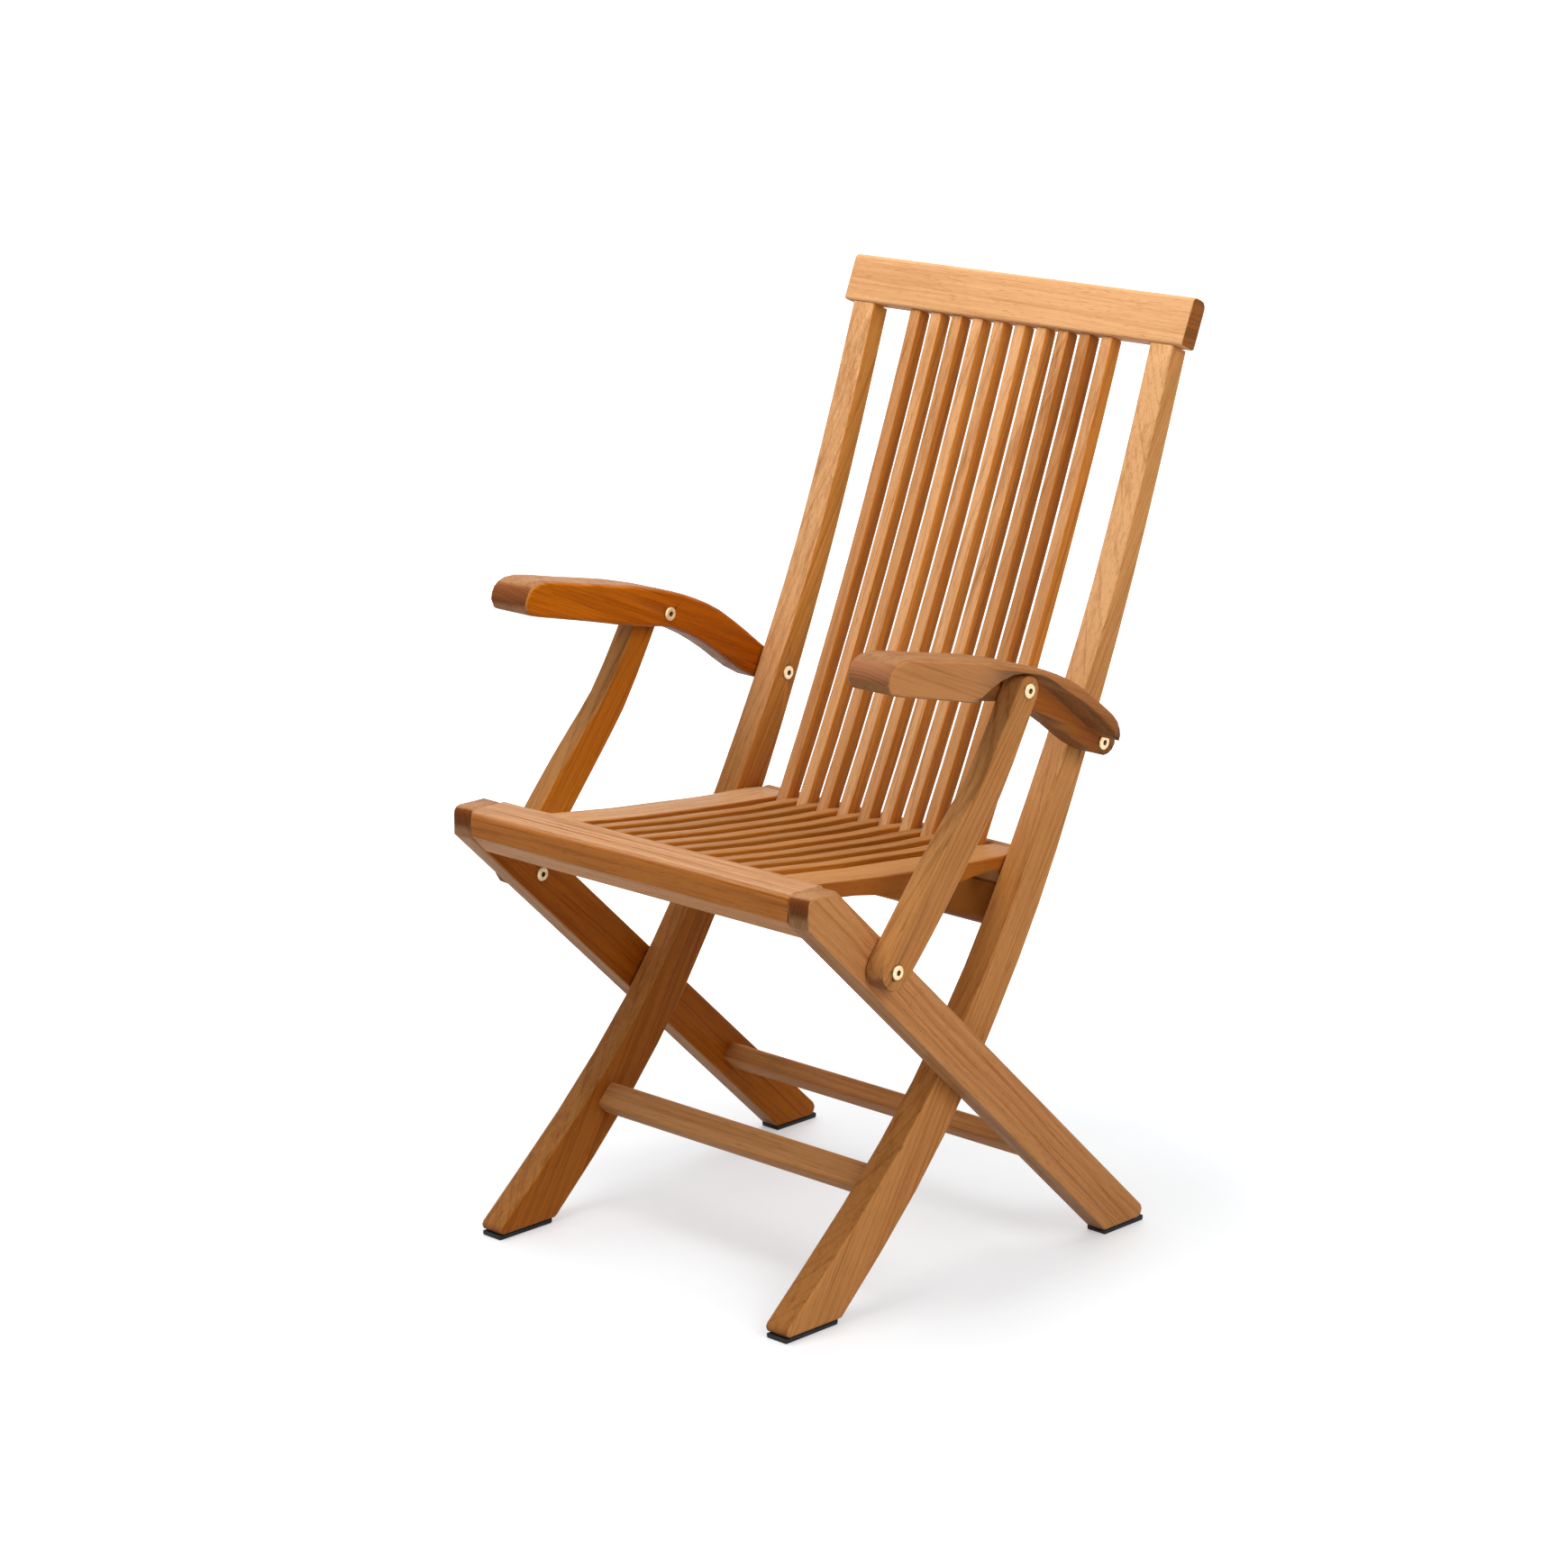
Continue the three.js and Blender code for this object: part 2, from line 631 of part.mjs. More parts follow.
// The arms: a web beside the leg, and a wide top that overhangs the curved support
const armTopShares = [
  [1.0116, 0.8593], [1.0056, 0.9198], [0.9915, 0.9678], [0.9666, 1.0007], [0.9286, 1.0099],
  [0.8635, 0.9862], [0.8039, 0.956], [0.7442, 0.927], [0.6791, 0.8974], [0.6194, 0.8698],
  [0.5598, 0.8409], [0.4947, 0.8014], [0.4323, 0.762], [0.3699, 0.7133], [0.3102, 0.6575],
  [0.2478, 0.5891], [0.1855, 0.5036], [0.1041, 0.3616], [0.0634, 0.2847], [0.0119, 0.1854],
  [-0.0234, 0.1262], [-0.044, 0.0638], [-0.0516, 0], [-0.0445, -0.0546], [-0.022, -0.0874],
  [-0.0001, -0.094],
];
const armUnderShares = [
  [0.0471, -0.0546], [0.1231, 0.048], [0.1855, 0.1624], [0.2465, 0.265], [0.3083, 0.3557],
  [0.3699, 0.4293], [0.4008, 0.4596], [0.4315, 0.4832], [0.4933, 0.5082], [0.5855, 0.549],
  [0.6533, 0.5897], [0.7442, 0.6423], [0.8011, 0.6739], [0.8635, 0.7081], [0.9259, 0.7423],
  [0.9747, 0.7705], [1.0005, 0.7936],
];
const recessShares = [
  [0.641, 0.5], [0.641, 0.606], [0.617, 0.632], [0.588, 0.665], [0.547, 0.7], [0.49, 0.723],
  [0.438, 0.71], [0.384, 0.668], [0.311, 0.584], [0.227, 0.454], [0.143, 0.289], [0.091, 0.184],
  [0.053, 0.096], [0.0265, 0.056], [0.021, 0.092], [0.0235, 0.138], [0.0345, 0.2],
  [0.0635, 0.29], [0.03, 0.4], [-0.2, 0.4], [-0.2, -0.4], [0.641, -0.4],
];

function armPoints(shares) {
  return shares.map(([forward, rise]) => new THREE.Vector2(
    armPivot.x - forward * armLength, armPivot.y + rise * armRise));
}

function armOutline() {
  const top = new THREE.SplineCurve(armPoints(armTopShares)).getPoints(3 * curveSteps);
  const under = new THREE.SplineCurve(armPoints(armUnderShares)).getPoints(2 * curveSteps);
  return [...top, ...under];
}

// A curved support, wide at the leg and slimmer under the arm
const supportShares = [
  [0, 0, 1], [0.12, 0.23, 1.04], [0.25, 0.42, 1.06], [0.43, 0.66, 1.01], [0.56, 0.9, 0.92],
  [0.68, 1, 0.85], [0.84, 0.6, 0.8], [1, 0, 0.78],
];

function supportOutline() {
  const chord = supportTop.clone().sub(supportFoot);
  const along = chord.clone().normalize();
  const over = new THREE.Vector2(along.y, -along.x);
  const middle = new THREE.SplineCurve(supportShares.map(([run, bow]) => supportFoot.clone()
    .addScaledVector(chord, run).addScaledVector(over, bow * supportBow)));
  const widths = new THREE.SplineCurve(supportShares.map(([run, , width]) =>
    new THREE.Vector2(run, width * supportHalfWidth)));
  const rear = [];
  const front = [];
  for (let step = 0; step <= curveSteps; step += 1) {
    const share = step / curveSteps;
    const tangent = middle.getTangent(share);
    const outward = new THREE.Vector2(tangent.y, -tangent.x);
    const half = widths.getPoint(share).y;
    rear.push(middle.getPoint(share).addScaledVector(outward, half));
    front.unshift(middle.getPoint(share).addScaledVector(outward, -half));
  }
  const cap = (share, direction) => {
    const tangent = middle.getTangent(share).multiplyScalar(direction);
    const half = widths.getPoint(share).y;
    const points = [];
    for (let step = 1; step < 2 * cornerSteps; step += 1) {
      const angle = Math.PI / 2 - Math.PI * step / (2 * cornerSteps);
      const arm = tangent.clone().rotateAround(new THREE.Vector2(), -direction * angle * direction);
      points.push(middle.getPoint(share).addScaledVector(arm, half));
    }
    return points;
  };
  return [...rear, ...cap(1, 1), ...front, ...cap(0, -1)];
}

for (const [word, side] of sides) {
  const outerCut = across(side, legOuter, armOuter + overrun);
  const webThrough = across(side, legInner - overrun, armOuter + overrun);
  const arm = plank(armOutline(), across(side, legInner, armOuter), armArris)
    .subtract(plank(armPoints(recessShares), outerCut, 0))
    .subtract(round(armPivot, barrelRadius + turningGap, webThrough))
    .subtract(round(supportTop, barrelRadius + jointGap, webThrough));
  addPiece(`${word}_arm`, arm, teak);
  const support = plank(supportOutline(), across(side, supportInner, supportOuter), arris)
    .subtract(round(supportTop, barrelRadius + turningGap, webThrough))
    .subtract(round(supportFoot, screwRadius + openPivotPlay, webThrough));
  addPiece(`${word}_arm_support`, support, teak);
}

// A barrel bolt: a screw from the outer face runs into a headed barrel from the inner face
function socketCut(place, side, face) {
  const depth = face + side * boltHeadThick;
  const geometry = new THREE.CylinderGeometry(socketRadius, socketRadius, 2 * socketDepth, 6);
  geometry.rotateZ(Math.PI / 2);
  geometry.translate(depth, place.x, place.y);
  return solid(geometry);
}

function boltScrew(place, side, outer, end) {
  const face = outer + jointGap;
  const crown = face + boltHeadThick;
  const screw = turned(place, side, [
    [0, end], [screwRadius, end], [screwRadius, face], [boltHeadRadius, face],
    [boltHeadRadius, face + boltHeadThick / 3], [boltHeadRadius * 0.8, crown], [0, crown],
  ]);
  return screw.subtract(socketCut(place, side, side * face));
}

function boltBarrel(place, side, inner, end, bore) {
  const face = inner - jointGap;
  const crown = face - boltHeadThick;
  const barrel = turned(place, side, [
    [0, crown], [boltHeadRadius * 0.8, crown], [boltHeadRadius, face - boltHeadThick / 3],
    [boltHeadRadius, face], [barrelRadius, face], [barrelRadius, end],
    [screwRadius + jointGap, end], [screwRadius + jointGap, bore], [0, bore],
  ]);
  return barrel.subtract(socketCut(place, -side, side * face));
}

const bolts = [
  ['arm_pivot', armPivot, postInner, legOuter, legOuter - pivotGap],
  ['support_foot', supportFoot, legInner, supportOuter, legOuter - pivotGap],
  ['support_top', supportTop, legInner, supportOuter, supportOuter - pivotGap],
];
for (const [word, side] of sides) {
  for (const [name, place, inner, outer, barrelEnd] of bolts) {
    const bore = inner + socketDepth + pivotGap;
    addPiece(`${word}_${name}_screw`, boltScrew(place, side, outer, bore + pivotGap), brass);
    addPiece(`${word}_${name}_barrel`, boltBarrel(place, side, inner, barrelEnd, bore), brass);
  }
}

// The rubber pads under the four feet
function pad(range, start, end) {
  const outline = eased([
    [new THREE.Vector2(start, 0), smallArris], [new THREE.Vector2(end, 0), smallArris],
    [new THREE.Vector2(end, padThick), 0], [new THREE.Vector2(start, padThick), 0],
  ]);
  return plank(outline, [range[0] + padInset, range[1] - padInset], 0);
}
const postToe = atHeight(postFront, woodBottom).place.x;
const postHeel = atHeight(postRear, woodBottom).place.x;
const legHeel = legMiddle(woodBottom).x;
const legHalfRun = legDepth / 2 / Math.sin(legAngle);
for (const [word, side] of sides) {
  addPiece(`${word}_front_pad`,
    pad(across(side, postInner, postOuter), postToe + padToeInset, postHeel - padHeelInset), rubber);
  addPiece(`${word}_rear_pad`,
    pad(across(side, legInner, legOuter), legHeel - legHalfRun,
      legHeel + legHalfRun - padRearInset), rubber);
}

// The origin lies on the floor under the middle of the chair
const middle = new THREE.Box3().setFromObject(chair).getCenter(new THREE.Vector3());
chair.position.set(-middle.x, -middle.y, 0);

export default chair;
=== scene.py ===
import math

import bpy
from mathutils import Matrix, Vector

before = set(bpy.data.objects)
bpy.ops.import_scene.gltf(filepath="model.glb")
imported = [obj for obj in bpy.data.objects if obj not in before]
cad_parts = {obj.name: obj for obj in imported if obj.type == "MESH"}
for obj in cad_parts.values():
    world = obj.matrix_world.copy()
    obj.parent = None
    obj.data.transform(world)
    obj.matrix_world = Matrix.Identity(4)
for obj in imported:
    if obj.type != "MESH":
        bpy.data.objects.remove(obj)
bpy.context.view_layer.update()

# The chair is seen from its front left corner, a little above the arms, through a
# long lens almost five metres away, so that its upright lines stay nearly parallel.
scene = bpy.context.scene
scene.view_settings.view_transform = "Standard"
camera = bpy.data.objects.new("camera", bpy.data.cameras.new("camera"))
camera.data.sensor_width = 36
camera.data.lens = 101.226
camera.data.clip_end = 60
look_at = Vector((0, -0.0777, 0.5128))
camera_azimuth = math.radians(43.86)
camera_elevation = math.radians(14.777)
camera_distance = 4.7589
towards_camera = Vector((
    math.sin(camera_azimuth) * math.cos(camera_elevation),
    -math.cos(camera_azimuth) * math.cos(camera_elevation),
    math.sin(camera_elevation),
))
camera.location = look_at + towards_camera * camera_distance
camera.rotation_mode = "QUATERNION"
camera.rotation_quaternion = (-towards_camera).to_track_quat("-Z", "Y")
scene.collection.objects.link(camera)
scene.camera = camera

# The bent posts are sawn from oiled teak planks, so the grain runs straight through
# their curves. Every arris is eased, and the feet are cut flat for their pads.


def feed(tree, term, socket):
    """Links a node's socket to another, or sets it to a number, vector or colour."""
    if isinstance(term, bpy.types.NodeSocket):
        tree.links.new(term, socket)
    else:
        socket.default_value = term


def group_nodes(name, inputs, outputs):
    """A shader node group, with the sockets that it is given and those it fills."""
    group = bpy.data.node_groups.new(name, "ShaderNodeTree")
    for direction, sockets in (("INPUT", inputs), ("OUTPUT", outputs)):
        for label, kind in sockets.items():
            group.interface.new_socket(
                label, in_out=direction, socket_type=f"NodeSocket{kind}")
    given = group.nodes.new("NodeGroupInput").outputs
    filled = group.nodes.new("NodeGroupOutput").inputs
    return group, given, filled


def placed_group(tree, group, values):
    """A group's node inside a material, with that material's own values."""
    node = tree.nodes.new("ShaderNodeGroup")
    node.node_tree = group
    for label, value in values.items():
        node.inputs[label].default_value = value
    return node


def math_node(tree, operation, *terms, clamp=False):
    """One sum, whose terms are numbers or the sockets of other nodes."""
    node = tree.nodes.new("ShaderNodeMath")
    node.operation = operation
    node.use_clamp = clamp
    for term, socket in zip(terms, node.inputs):
        feed(tree, term, socket)
    return node.outputs[0]


def plus(tree, first, second):
    return math_node(tree, "ADD", first, second)


def minus(tree, first, second):
    return math_node(tree, "SUBTRACT", first, second)


def times(tree, first, second):
    return math_node(tree, "MULTIPLY", first, second)


def vector_node(tree, operation, result, *terms):
    """One sum of vectors, whose result is a Vector, or a Value such as a length."""
    node = tree.nodes.new("ShaderNodeVectorMath")
    node.operation = operation
    for term, socket in zip(terms, node.inputs):
        feed(tree, term, socket)
    return node.outputs[result]


def parts_of(tree, vector):
    """The X, Y and Z of a vector."""
    node = tree.nodes.new("ShaderNodeSeparateXYZ")
    tree.links.new(vector, node.inputs[0])
    return node.outputs["X"], node.outputs["Y"], node.outputs["Z"]


def noise_node(tree, vector, per_metre, detail, roughness, shift=None):
    """Noise with so many waves to the metre along, across and through a board."""
    mapping = tree.nodes.new("ShaderNodeMapping")
    mapping.inputs["Scale"].default_value = per_metre
    tree.links.new(vector, mapping.inputs["Vector"])
    noise = tree.nodes.new("ShaderNodeTexNoise")
    noise.noise_dimensions = "4D"
    noise.inputs["Scale"].default_value = 1.0
    noise.inputs["Detail"].default_value = detail
    noise.inputs["Roughness"].default_value = roughness
    tree.links.new(mapping.outputs[0], noise.inputs["Vector"])
    if shift is not None:
        tree.links.new(shift, noise.inputs["W"])
    return noise.outputs["Fac"]


def between(tree, value, span, result=(0.0, 1.0)):
    """A value eased from one span of numbers to another, and held inside it."""
    node = tree.nodes.new("ShaderNodeMapRange")
    node.interpolation_type = "SMOOTHSTEP"
    ends = ("From Min", "From Max", "To Min", "To Max")
    for label, term in zip(ends, (*span, *result)):
        node.inputs[label].default_value = term
    tree.links.new(value, node.inputs["Value"])
    return node.outputs[0]


def blend_colours(tree, share, first, second, mode="MIX"):
    """Two colours mixed by the second one's share, each a socket or a plain colour."""
    node = tree.nodes.new("ShaderNodeMix")
    node.data_type = "RGBA"
    node.blend_type = mode
    share_socket, first_socket, second_socket, mixed_socket = 0, 6, 7, 2
    feed(tree, share, node.inputs[share_socket])
    feed(tree, first, node.inputs[first_socket])
    feed(tree, second, node.inputs[second_socket])
    return node.outputs[mixed_socket]


def tinted(tree, share, colour, tint):
    """A colour multiplied by a tint, as far as the share says."""
    return blend_colours(tree, share, colour, tint, "MULTIPLY")


def add_bump(tree, shader, height, strength, depth):
    """Lets a shader show a height as fine relief, its depth in metres."""
    bump = tree.nodes.new("ShaderNodeBump")
    bump.inputs["Strength"].default_value = strength
    bump.inputs["Distance"].default_value = depth
    tree.links.new(height, bump.inputs["Height"])
    tree.links.new(bump.outputs["Normal"], shader.inputs["Normal"])


def new_finish(name):
    """A new material, with its nodes and its shader."""
    material = bpy.data.materials.new(name)
    material.use_nodes = True
    return material, material.node_tree, material.node_tree.nodes["Principled BSDF"]


def growth_rings(group, given):
    """How far a point lies through its growth ring, and how much late wood is there."""
    ring_stray = 0.012
    rings_between_seeds = 17.0
    year_unevenness = 2.5
    board, seed = given["Board"], given["Seed"]
    along, across, through = parts_of(group, board)
    pith_slant, pith_across, pith_through = parts_of(group, given["Pith"])
    sideways = plus(
        group, minus(group, across, pith_across), times(group, along, pith_slant))
    deep = minus(group, through, pith_through)
    radius = math_node(group, "SQRT", plus(
        group, times(group, sideways, sideways), times(group, deep, deep)))
    stray = noise_node(
        group, board, per_metre=(3, 14, 14), detail=2.0, roughness=0.5, shift=seed)
    radius = plus(group, radius, times(group, stray, ring_stray))
    ring_number = math_node(group, "DIVIDE", radius, given["Ring Width"])
    years = group.nodes.new("ShaderNodeTexNoise")
    years.noise_dimensions = "1D"
    years.inputs["Scale"].default_value = 0.6
    years.inputs["Detail"].default_value = 3.0
    feed(group, plus(group, ring_number, times(group, seed, rings_between_seeds)),
         years.inputs["W"])
    year = years.outputs["Fac"]
    ring = math_node(group, "FRACT", plus(
        group, ring_number, times(group, year, year_unevenness)))
    late_wood = times(group, between(group, ring, (0.55, 0.98)),
                      between(group, year, (0.3, 0.7), (0.35, 1.0)))
    return ring, late_wood


def make_teak_grain_and_shade():
    """Teak as a slice through growth rings: rings, fibres, pores and end grain, with
    painted light and shade on its sides and at a board's start.
    """
    group, given, filled = group_nodes("teak_grain_and_shade", {
        "Board": "Vector", "Face": "Vector", "Pith": "Vector", "Ring Width": "Float",
        "Ring Strength": "Float", "Seed": "Float", "Light": "Color", "Dark": "Color",
        "Side": "Color", "End": "Color", "End Start": "Float", "End Facing": "Vector",
        "Recess": "Float", "Start Shade Reach": "Float", "Start Shade On Sides": "Float",
    }, {"Color": "Color", "Roughness": "Float", "Height": "Float"})
    board, seed = given["Board"], given["Seed"]
    along, across, _ = parts_of(group, board)
    _, side_facing, _ = parts_of(group, given["Face"])
    ring, late_wood = growth_rings(group, given)
    fibre = noise_node(
        group, board, per_metre=(12, 520, 520), detail=4.0, roughness=0.65, shift=seed)
    streak = noise_node(
        group, board, per_metre=(2.6, 130, 130), detail=4.0, roughness=0.6, shift=seed)
    cloud = noise_node(
        group, board, per_metre=(1.4, 9, 9), detail=2.0, roughness=0.5, shift=seed)
    pore = noise_node(
        group, board, per_metre=(75, 1500, 1500), detail=1.0, roughness=0.4, shift=seed)
    speckle = noise_node(
        group, board, per_metre=(300, 700, 700), detail=2.0, roughness=0.6, shift=seed)

    # Late wood, streaks, fibres and clouds darken a face, and the pores are darkest.
    tone = times(group, late_wood, given["Ring Strength"])
    for figure, span, darkening in ((streak, (0.4, 0.72), (-0.1, 0.34)),
                                    (fibre, (0.3, 0.7), (-0.2, 0.27)),
                                    (cloud, (0.3, 0.7), (-0.06, 0.2))):
        tone = plus(group, tone, between(group, figure, span, darkening))
    colour = blend_colours(group, tone, given["Light"], given["Dark"])
    pores = between(group, pore, (0.6, 0.72), (0.0, 0.5))
    colour = blend_colours(group, pores, colour, given["End"])

    # The side tint paints light and shade on a board's side faces, and a web that stands
    # back under an arm's top gets deeper painted shade.
    painted_recess_shade = (0.84, 0.62, 0.24, 1)
    side = between(group, side_facing, (0.6, 0.9))
    colour = tinted(group, side, colour, given["Side"])
    recess = times(group, side, math_node(
        group, "LESS_THAN", math_node(group, "ABSOLUTE", across), given["Recess"]))
    recess = times(group, recess, between(group, streak, (0.35, 0.6), (0.75, 1.0)))
    colour = tinted(group, recess, colour, painted_recess_shade)

    # The start of a board is painted darker, as painted shade: a post's foot under the
    # seat, or an arm's back.
    start_shade_tint = (0.6, 0.45, 0.26, 1)
    start_shade_fade = 0.3
    start_shade = math_node(
        group, "DIVIDE", minus(group, given["Start Shade Reach"], along), start_shade_fade, clamp=True)
    spared_side = times(group, side, minus(group, 1.0, given["Start Shade On Sides"]))
    start_shade = times(group, start_shade, minus(group, 1.0, spared_side))
    colour = tinted(group, start_shade, colour, start_shade_tint)

    # The long arrises are rubbed a little paler. The sum is one where a face is
    # tipped by 45 degrees, and nothing on the flat faces on either side.
    rubbed_tint = (1.35, 1.4, 1.5, 1)
    tipped = times(group, side_facing, side_facing)
    arris = times(group, times(group, tipped, 4.0), minus(group, 1.0, tipped))
    rubbed = times(group, between(group, arris, (0.5, 1.0)),
                   between(group, cloud, (0.35, 0.65), (0.1, 0.4)))
    colour = tinted(group, rubbed, colour, rubbed_tint)

    # The cut ends are dark, with their rings darker still and a fine speckle.
    half_as_light = (0.5, 0.5, 0.5, 1)
    end_sharpness = 6.0
    end_on = math_node(group, "ABSOLUTE", vector_node(
        group, "DOT_PRODUCT", "Value", given["Face"], given["End Facing"]))
    end = math_node(group, "MULTIPLY", minus(group, end_on, given["End Start"]),
                    end_sharpness, clamp=True)
    end = times(group, end, between(group, speckle, (0.2, 0.6), (0.88, 1.0)))
    end_rings = between(group, ring, (0.3, 0.9), (0.0, 0.55))
    end_colour = tinted(group, end_rings, given["End"], half_as_light)
    feed(group, blend_colours(group, end, colour, end_colour), filled["Color"])

    roughness = between(group, fibre, (0.3, 0.7), (0.46, 0.58))
    for place, roughening in ((pores, 0.2), (end, 0.08)):
        roughness = plus(group, roughness, times(group, place, roughening))
    feed(group, roughness, filled["Roughness"])
    fibre_relief = 0.35
    height = times(group, fibre, fibre_relief)
    for place, sinking in ((pores, 1.2), (late_wood, 0.15)):
        height = minus(group, height, times(group, place, sinking))
    feed(group, height, filled["Height"])
    return group


teak_grain_and_shade = make_teak_grain_and_shade()
unshaded_sides = (1, 1, 1)
no_recess = 0.0
no_start_shade = -10.0


def teak_board(name, along, across, pith, light, dark, seed, side=unshaded_sides,
               end=(0.26, 0.085, 0.025), end_start=0.7, end_facing=None,
               ring_width=0.006, ring_strength=0.5, recess=no_recess,
               start_shade_reach=no_start_shade, start_shade_on_sides=1.0):
    """Oiled teak for one board, with its grain along one direction of the chair.

    The side tint paints light and shade on faces that look across. The pith gives the
    slant of the rings' centre line to the board, and how far across and through the
    board that line lies. A side stands back where it is less than the recess from the
    chair's middle, and gets deeper painted shade there. The start of a board is painted
    darker, as painted shade, up to a given reach along the grain. Lengths are in metres.
    """
    material, tree, shader = new_finish(name)
    lengthwise = Vector(along).normalized()
    widthwise = Vector(across)
    widthwise = (widthwise - lengthwise * widthwise.dot(lengthwise)).normalized()
    board_axes = Matrix((lengthwise, widthwise, lengthwise.cross(widthwise)))
    grain = placed_group(tree, teak_grain_and_shade, {
        "Pith": pith, "Ring Width": ring_width, "Ring Strength": ring_strength,
        "Seed": seed, "Light": (*light, 1), "Dark": (*dark, 1), "Side": (*side, 1),
        "End": (*end, 1), "End Start": end_start,
        "End Facing": board_axes @ Vector(end_facing or along).normalized(),
        "Recess": recess, "Start Shade Reach": start_shade_reach, "Start Shade On Sides": start_shade_on_sides})
    place = tree.nodes.new("ShaderNodeTexCoord")
    for source, kind, target in (("Object", "POINT", "Board"),
                                 ("Normal", "VECTOR", "Face")):
        mapping = tree.nodes.new("ShaderNodeMapping")
        mapping.vector_type = kind
        mapping.inputs["Rotation"].default_value = board_axes.to_euler()
        tree.links.new(place.outputs[source], mapping.inputs["Vector"])
        tree.links.new(mapping.outputs[0], grain.inputs[target])
    tree.links.new(grain.outputs["Color"], shader.inputs["Base Color"])
    tree.links.new(grain.outputs["Roughness"], shader.inputs["Roughness"])
    add_bump(tree, shader, grain.outputs["Height"], strength=0.35, depth=0.0006)
    shader.inputs["Specular IOR Level"].default_value = 0.14
    shader.inputs["Specular Tint"].default_value = (1, 0.58, 0.26, 1)
    return material


def dress(node, material):
    """Gives a carried-over solid its finish, with its eased arrises shaded round."""
    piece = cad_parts[node]
    mesh = piece.data
    mesh.materials.clear()
    mesh.materials.append(material)
    if "custom_normal" in mesh.attributes:
        mesh.attributes.remove(mesh.attributes["custom_normal"])
    sharpest_eased_angle = math.radians(40)
    mesh.polygons.foreach_set("use_smooth", [True] * len(mesh.polygons))
    mesh.set_sharp_from_angle(angle=sharpest_eased_angle)
    weld = piece.modifiers.new("joined_facets", "WELD")
    weld.merge_threshold = 0.00001
    even = piece.modifiers.new("even_shading", "WEIGHTED_NORMAL")
    even.weight = 80
    even.keep_sharp = True


across_chair = (1, 0, 0)
post_run = (0, 0.52, 0.85)
# Painted shade: the side tints darken the posts' sides, the far post's more, and the feet
# are painted darker under the seat, on the far post's sides too.
for node, seed, side_shading, start_shade_on_sides in (
        ("left_post", 1.3, (1.0, 0.84, 0.6), 0.35),
        ("right_post", 4.7, (1.0, 0.76, 0.34), 1.0)):
    dress(node, teak_board(
        f"{node}_teak", post_run, across_chair, pith=(0.02, 0.03, 0.16),
        light=(0.69, 0.37, 0.165), dark=(0.37, 0.145, 0.042), side=side_shading,
        ring_width=0.0075, ring_strength=0.42, seed=seed, start_shade_reach=0.68,
        start_shade_on_sides=start_shade_on_sides))

# The top rail is a straight teak board with a rounded upper edge, and shows dark end
# grain at both ends. The posts and slats are tenoned into its underside.
top_rail_rise = (0, 0.38, 0.92)
dress("top_rail", teak_board(
    "top_rail_teak", across_chair, top_rail_rise, pith=(0.03, -0.9, 0.05),
    light=(0.69, 0.37, 0.17), dark=(0.5, 0.225, 0.08), end=(0.33, 0.1, 0.018),
    ring_width=0.008, ring_strength=0.4, seed=2.1))

# The ten teak back slats are sawn to the bend of the posts, and tenoned into crossbar
# and top rail. They come from several boards, so their colour and rings differ.
slat_run = (0, 0.41, 0.91)
slat_light = (0.68, 0.355, 0.16)
slat_dark = (0.34, 0.125, 0.032)
slat_shades = (0.78, 0.95, 0.86, 1.0, 0.9, 1.02, 0.97, 0.84, 0.72, 0.9)


def shaded(colour, shade):
    """A slat's colour in a deeper board, which loses blue and green before red."""
    return tuple(part * shade ** loss for part, loss in zip(colour, (1, 1.5, 2.2)))


# The side tint is painted light and shade on the slats' faces in the gaps between them.
for number, shade in enumerate(slat_shades, 1):
    dress(f"back_slat_{number}", teak_board(
        f"back_slat_{number}_teak", slat_run, across_chair,
        pith=(0.01 * (number % 3), 0.02 * number, 0.1 + 0.01 * number),
        light=shaded(slat_light, shade), dark=shaded(slat_dark, shade),
        side=(1.05, 0.78, 0.3), ring_width=0.007, ring_strength=0.4,
        seed=0.37 * number))

# The crossbar under the slats and the low stretchers are plain teak bars, tenoned
# between the posts and between the legs, with their grain across the chair.
bar_rise = (0, 0.5, 0.86)
# The crossbar's colour is set far darker than the stretchers': painted shade, as it
# stands deep in the seat's shadow.
for node, seed, light in (
        ("back_crossbar", 5.2, (0.26, 0.085, 0.012)),
        ("front_stretcher", 6.4, (0.56, 0.26, 0.095)),
        ("rear_stretcher", 7.7, (0.5, 0.22, 0.075))):
    dress(node, teak_board(
        f"{node}_teak", across_chair, bar_rise, pith=(0.015, 0.4, 0.3), light=light,
        dark=(0.26, 0.09, 0.018), ring_width=0.007, ring_strength=0.35, seed=seed))

# The straight legs are sawn teak bars that cross the posts on hidden pins. Their
# square front ends show dark end grain at the corners of the seat.
leg_run = (0, -0.73, 0.684)
leg_end_facing = (0, -0.97, 0.24)
# The near leg's side tint is painted light on its outer face, and the far leg's is
# painted shade on its inner face.
for node, seed, side_shading in (
        ("left_leg", 8.2, (1.38, 1.22, 0.98)),
        ("right_leg", 9.1, (1.0, 0.56, 0.08))):
    dress(node, teak_board(
        f"{node}_teak", leg_run, across_chair, pith=(0.01, 0.02, 0.24),
        light=(0.43, 0.21, 0.09), dark=(0.25, 0.095, 0.028), side=side_shading,
        end=(0.19, 0.047, 0.007), end_facing=leg_end_facing, ring_width=0.0045,
        ring_strength=0.55, seed=seed))

# The seat is one tenoned teak frame that swings up: a heavy front rail, two broad side
# rails, nine slats that pass between the back slats, and a thin batten behind them.
towards_front = (0, -1, 0)
upright = (0, 0, 1)
